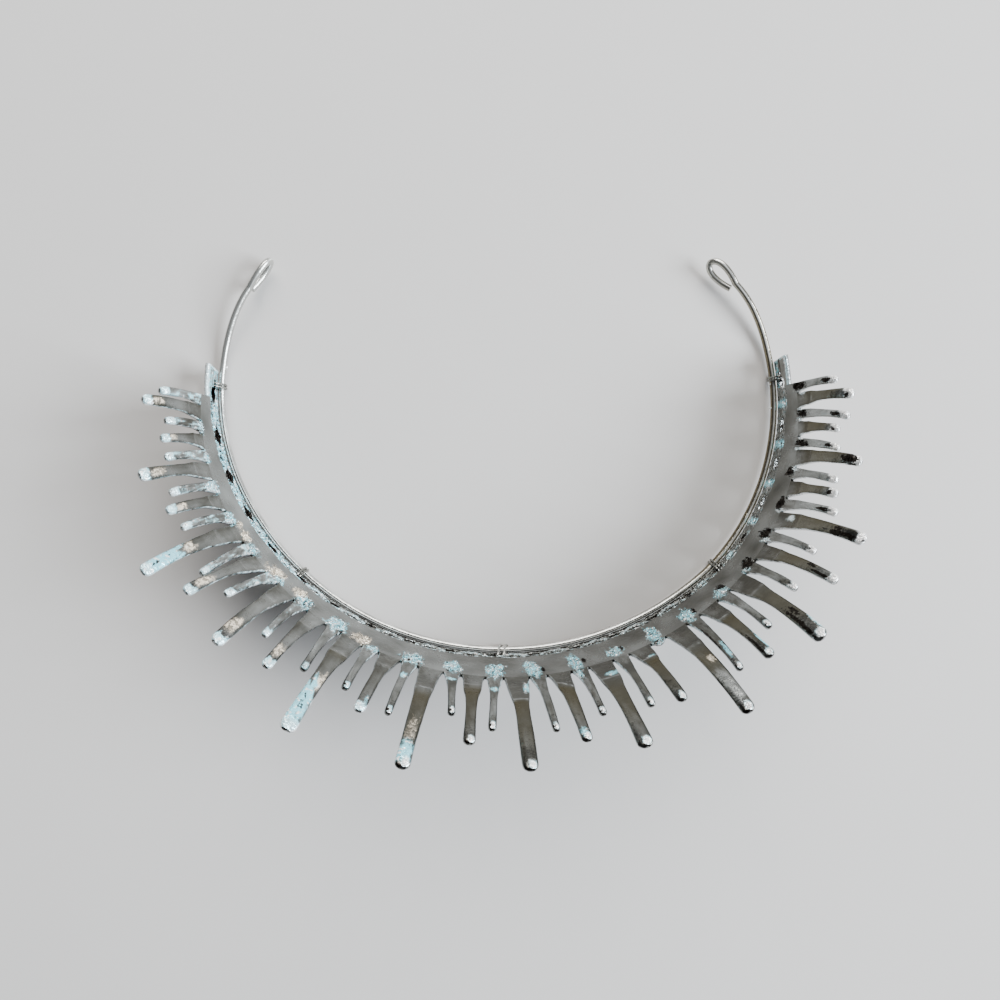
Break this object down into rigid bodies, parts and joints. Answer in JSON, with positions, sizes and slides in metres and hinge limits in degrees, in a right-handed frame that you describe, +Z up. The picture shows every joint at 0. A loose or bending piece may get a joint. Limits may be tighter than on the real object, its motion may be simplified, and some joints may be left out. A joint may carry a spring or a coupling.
{
  "type": "fringe tiara",
  "caption": "Plated cast metal fringe tiara with flaring blunt spikes over a pierced leaf gallery, lashed to a round head wire that ends in pin loops.",
  "frame": {"origin": "centre of the head opening on the plane the tiara stands on, one head_r behind the head wire's front point", "axes": "+Z up along the spikes, -Y towards the front of the tiara, +X to its right as seen from above with the front towards the viewer"},
  "size_m": [0.1533, 0.1116, 0.0451],
  "materials": {
    "cast_metal": "bright plated white metal, rough in the cast relief",
    "wire_metal": "bright drawn wire",
    "lashing_metal": "bright thin wire"
  },
  "bodies": {
    "root": {"cast_fringe": "cast_metal", "head_wire": "wire_metal", "left_end_lashing": "lashing_metal", "left_lashing": "lashing_metal", "front_lashing": "lashing_metal", "right_lashing": "lashing_metal", "right_end_lashing": "lashing_metal"}
  },
  "joints": []
}
